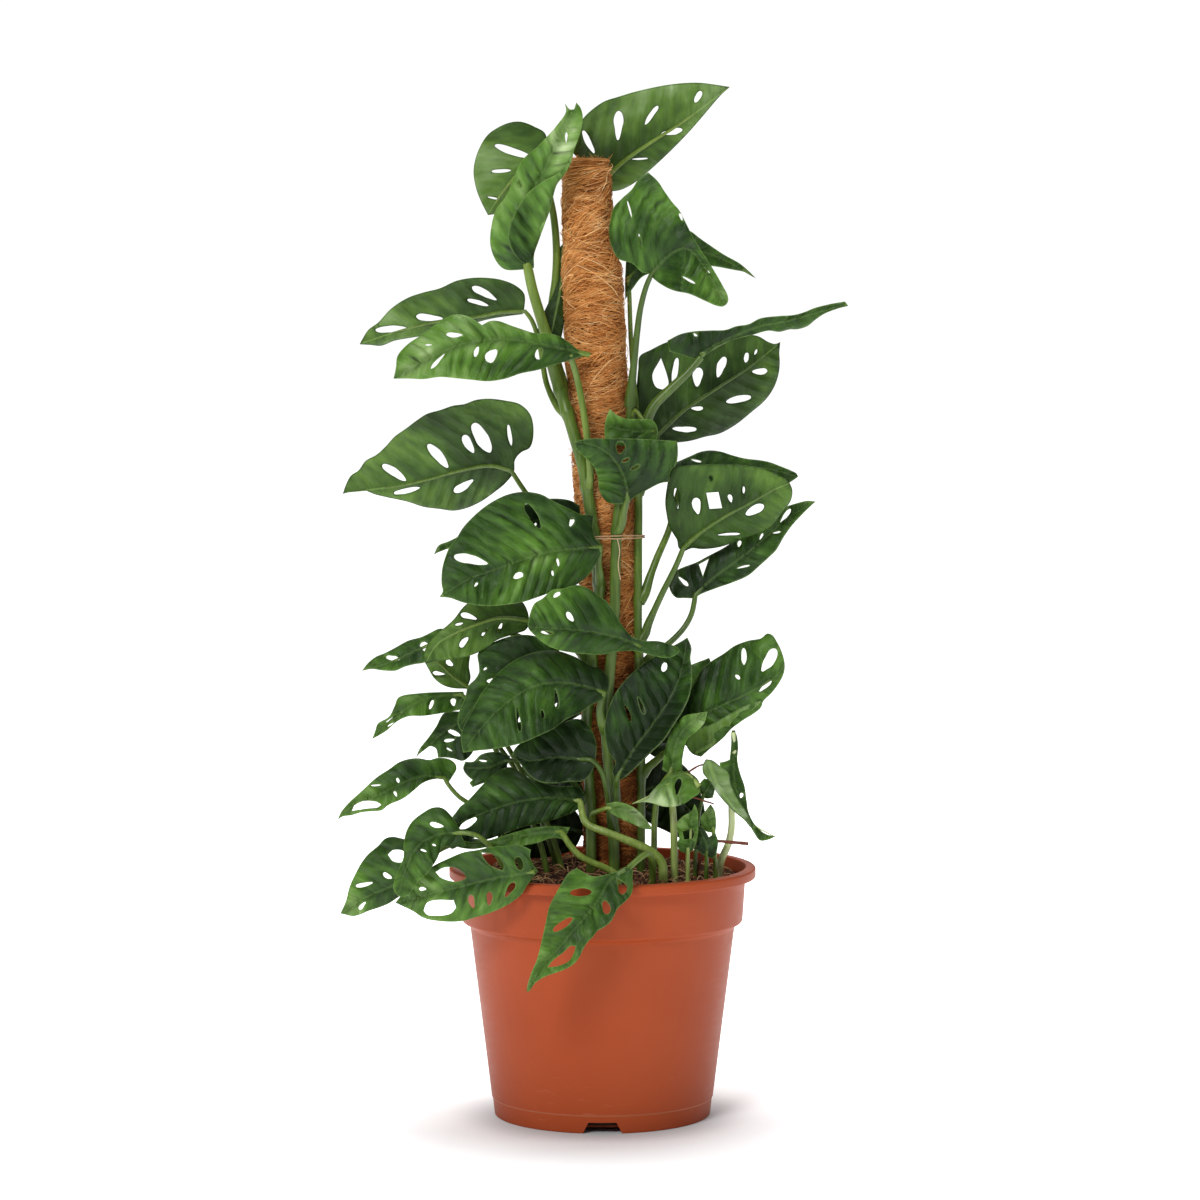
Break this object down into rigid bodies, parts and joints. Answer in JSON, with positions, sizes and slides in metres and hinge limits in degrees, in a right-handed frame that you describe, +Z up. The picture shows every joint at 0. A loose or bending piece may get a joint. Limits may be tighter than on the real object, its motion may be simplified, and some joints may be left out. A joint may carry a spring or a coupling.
{
  "type": "potted climbing plant",
  "caption": "Swiss cheese plant with holed leaves climbing a coir pole in a round tapered plastic nursery pot.",
  "frame": {"origin": "middle of the pot's underside, on the surface it stands on", "axes": "+Z up along the pot's axis, +Y away from the viewer of the plant's full side, +X to that viewer's right"},
  "size_m": [0.3115, 0.2163, 0.6368],
  "materials": {
    "pot_plastic": "satin terracotta-coloured polypropylene",
    "potting_soil": "rough crumbly peat and coir",
    "coir": "rough wound coconut fibre",
    "stake_wood": "bare sawn softwood",
    "tie_fibre": "thin twisted natural string",
    "twig_bark": "dry reddish-brown bark",
    "stem_green": "smooth green stem with pale nodes",
    "leaf_green": "soft waxy sheen"
  },
  "bodies": {
    "root": {"pot": "pot_plastic", "soil": "potting_soil", "pole_coir": "coir", "pole_stake": "stake_wood", "tie": "tie_fibre", "twig": "twig_bark", "stem_left": "stem_green", "stem_centre": "stem_green", "stem_right": "stem_green", "stem_back": "stem_green", "leaf_crown_right": "leaf_green", "leaf_crown_front": "leaf_green", "leaf_crown_back": "leaf_green", "leaf_upper_right": "leaf_green", "leaf_upper_right_back": "leaf_green", "leaf_upper_left_back": "leaf_green", "leaf_upper_left": "leaf_green", "leaf_mid_left_back": "leaf_green", "leaf_rolled": "leaf_green", "leaf_right_big": "leaf_green", "leaf_young": "leaf_green", "leaf_centre": "leaf_green", "leaf_right_mid": "leaf_green", "leaf_right_mid_back": "leaf_green", "leaf_right_low": "leaf_green", "leaf_mid_left": "leaf_green", "leaf_mid_left_tucked": "leaf_green", "leaf_left_low": "leaf_green", "leaf_left_low_back": "leaf_green", "leaf_left_small": "leaf_green", "leaf_left_folded": "leaf_green", "leaf_left_dark": "leaf_green", "leaf_left_drooping": "leaf_green", "leaf_left_cup": "leaf_green", "leaf_centre_left": "leaf_green", "leaf_centre_left_back": "leaf_green", "leaf_centre_front": "leaf_green", "leaf_centre_right": "leaf_green", "leaf_right_folded": "leaf_green", "leaf_right_upright": "leaf_green", "leaf_right_heart": "leaf_green", "leaf_right_hanging": "leaf_green", "leaf_small_pale": "leaf_green", "leaf_low_left": "leaf_green", "leaf_low_left_edge": "leaf_green", "leaf_low_centre": "leaf_green", "leaf_front_hanging": "leaf_green", "leaf_bottom_left": "leaf_green", "leaf_bottom_left_far": "leaf_green", "leaf_bottom_left_curved": "leaf_green", "leaf_low_right_dark": "leaf_green", "leaf_low_right_crimped": "leaf_green", "leaf_low_right_loop": "leaf_green", "leaf_low_right_frilled": "leaf_green", "leaf_rear_left": "leaf_green", "leaf_rear_right": "leaf_green", "leaf_rear_low": "leaf_green", "leaf_rear_inner": "leaf_green", "leaf_rear_foot_left": "leaf_green", "leaf_rear_foot_right": "leaf_green"}
  },
  "joints": []
}
